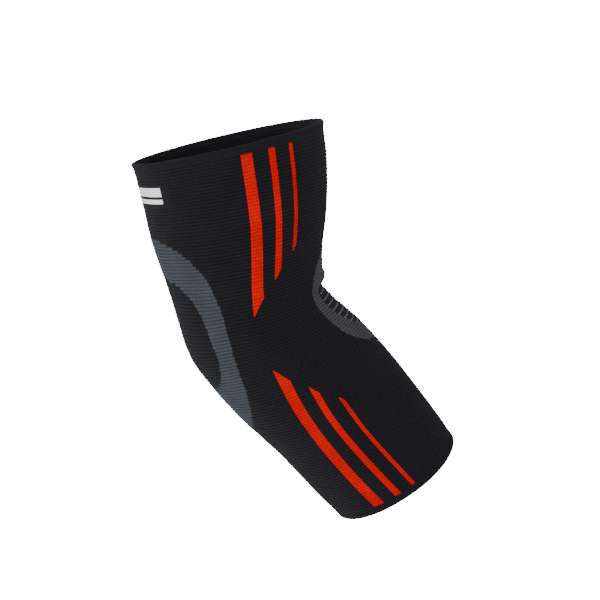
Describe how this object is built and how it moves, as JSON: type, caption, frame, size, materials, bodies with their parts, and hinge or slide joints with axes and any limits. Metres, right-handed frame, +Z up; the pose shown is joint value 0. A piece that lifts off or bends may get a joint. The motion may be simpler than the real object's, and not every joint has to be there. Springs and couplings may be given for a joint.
{
  "type": "elbow brace (knitted elbow sleeve)",
  "caption": "Knitted compression sleeve for the elbow, bent as worn, with grey rings and orange stripes.",
  "frame": {"origin": "middle of the elbow, on the middle line of the tube, where an arm holds the sleeve", "axes": "+X towards the inside of the elbow (the crook), +Z up along the upper arm, Y across the arm"},
  "size_m": [0.1911, 0.096, 0.2381],
  "materials": {
    "black_knit": "ribbed knit",
    "hem_knit": "smooth knit",
    "grey_knit": "ribbed knit",
    "crook_knit": "ribbed knit",
    "orange_knit": "ribbed knit",
    "label_knit": "smooth knit"
  },
  "bodies": {
    "root": {"sleeve": "black_knit", "upper_hem": "hem_knit", "lower_hem": "hem_knit", "elbow_ring": "grey_knit", "crook_ring": "grey_knit", "crook_panel": "crook_knit", "label_patch": "label_knit", "upper_wide_stripe_near": "orange_knit", "upper_wide_stripe_far": "orange_knit", "upper_medium_stripe_near": "orange_knit", "upper_medium_stripe_far": "orange_knit", "upper_thin_stripe_near": "orange_knit", "upper_thin_stripe_far": "orange_knit", "lower_wide_stripe_near": "orange_knit", "lower_wide_stripe_far": "orange_knit", "lower_medium_stripe_near": "orange_knit", "lower_medium_stripe_far": "orange_knit", "lower_thin_stripe_near": "orange_knit", "lower_thin_stripe_far": "orange_knit"}
  },
  "joints": []
}
